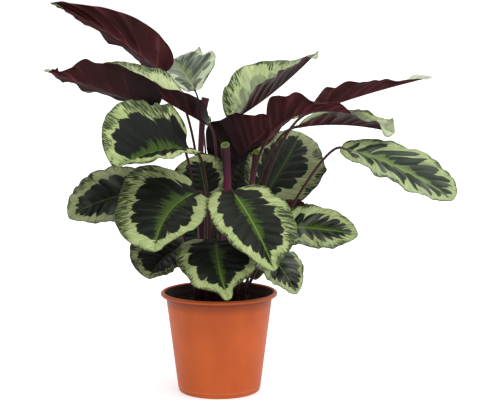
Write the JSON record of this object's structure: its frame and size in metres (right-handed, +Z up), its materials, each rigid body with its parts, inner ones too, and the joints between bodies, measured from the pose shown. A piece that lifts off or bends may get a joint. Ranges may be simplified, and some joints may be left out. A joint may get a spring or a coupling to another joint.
{
  "type": "potted calathea plant",
  "caption": "Potted calathea: patterned oval leaf blades with burgundy undersides on slim stalks, in a tapered nursery pot with soil.",
  "frame": {"origin": "centre of the pot's flat underside, on the surface that the pot stands on", "axes": "+Z up, out of the pot; -Y towards the viewer of the front; +X to the right as seen from the front"},
  "size_m": [0.47, 0.3044, 0.4657],
  "materials": {
    "pot": "satin",
    "soil": "matte",
    "blade": "satin",
    "stalk": "satin",
    "cut_stem": "satin"
  },
  "bodies": {
    "root": {"pot": "pot", "soil": "soil", "cut_stem_thick": "cut_stem", "cut_stem_thin": "cut_stem", "cut_stem_tall": "cut_stem", "blade_high_left": "blade", "blade_upper_left": "blade", "blade_inner_left": "blade", "blade_small_top": "blade", "blade_upper_middle": "blade", "blade_upper_right": "blade", "blade_inner_right": "blade", "blade_centre": "blade", "blade_high_right": "blade", "blade_far_right": "blade", "blade_back_right": "blade", "blade_left": "blade", "blade_front_left": "blade", "blade_far_left": "blade", "blade_front": "blade", "blade_back_left": "blade", "blade_low_front": "blade", "blade_low_left": "blade", "blade_right": "blade", "blade_low_right": "blade", "blade_back_low": "blade", "blade_rear_left": "blade", "blade_rear_right": "blade", "blade_rear_low": "blade", "blade_rear_high": "blade", "stalk_high_left": "stalk", "stalk_upper_left": "stalk", "stalk_inner_left": "stalk", "stalk_small_top": "stalk", "stalk_upper_middle": "stalk", "stalk_upper_right": "stalk", "stalk_inner_right": "stalk", "stalk_centre": "stalk", "stalk_high_right": "stalk", "stalk_far_right": "stalk", "stalk_back_right": "stalk", "stalk_left": "stalk", "stalk_front_left": "stalk", "stalk_far_left": "stalk", "stalk_front": "stalk", "stalk_back_left": "stalk", "stalk_low_front": "stalk", "stalk_low_left": "stalk", "stalk_right": "stalk", "stalk_low_right": "stalk", "stalk_back_low": "stalk", "stalk_rear_left": "stalk", "stalk_rear_right": "stalk", "stalk_rear_low": "stalk", "stalk_rear_high": "stalk"}
  },
  "joints": []
}
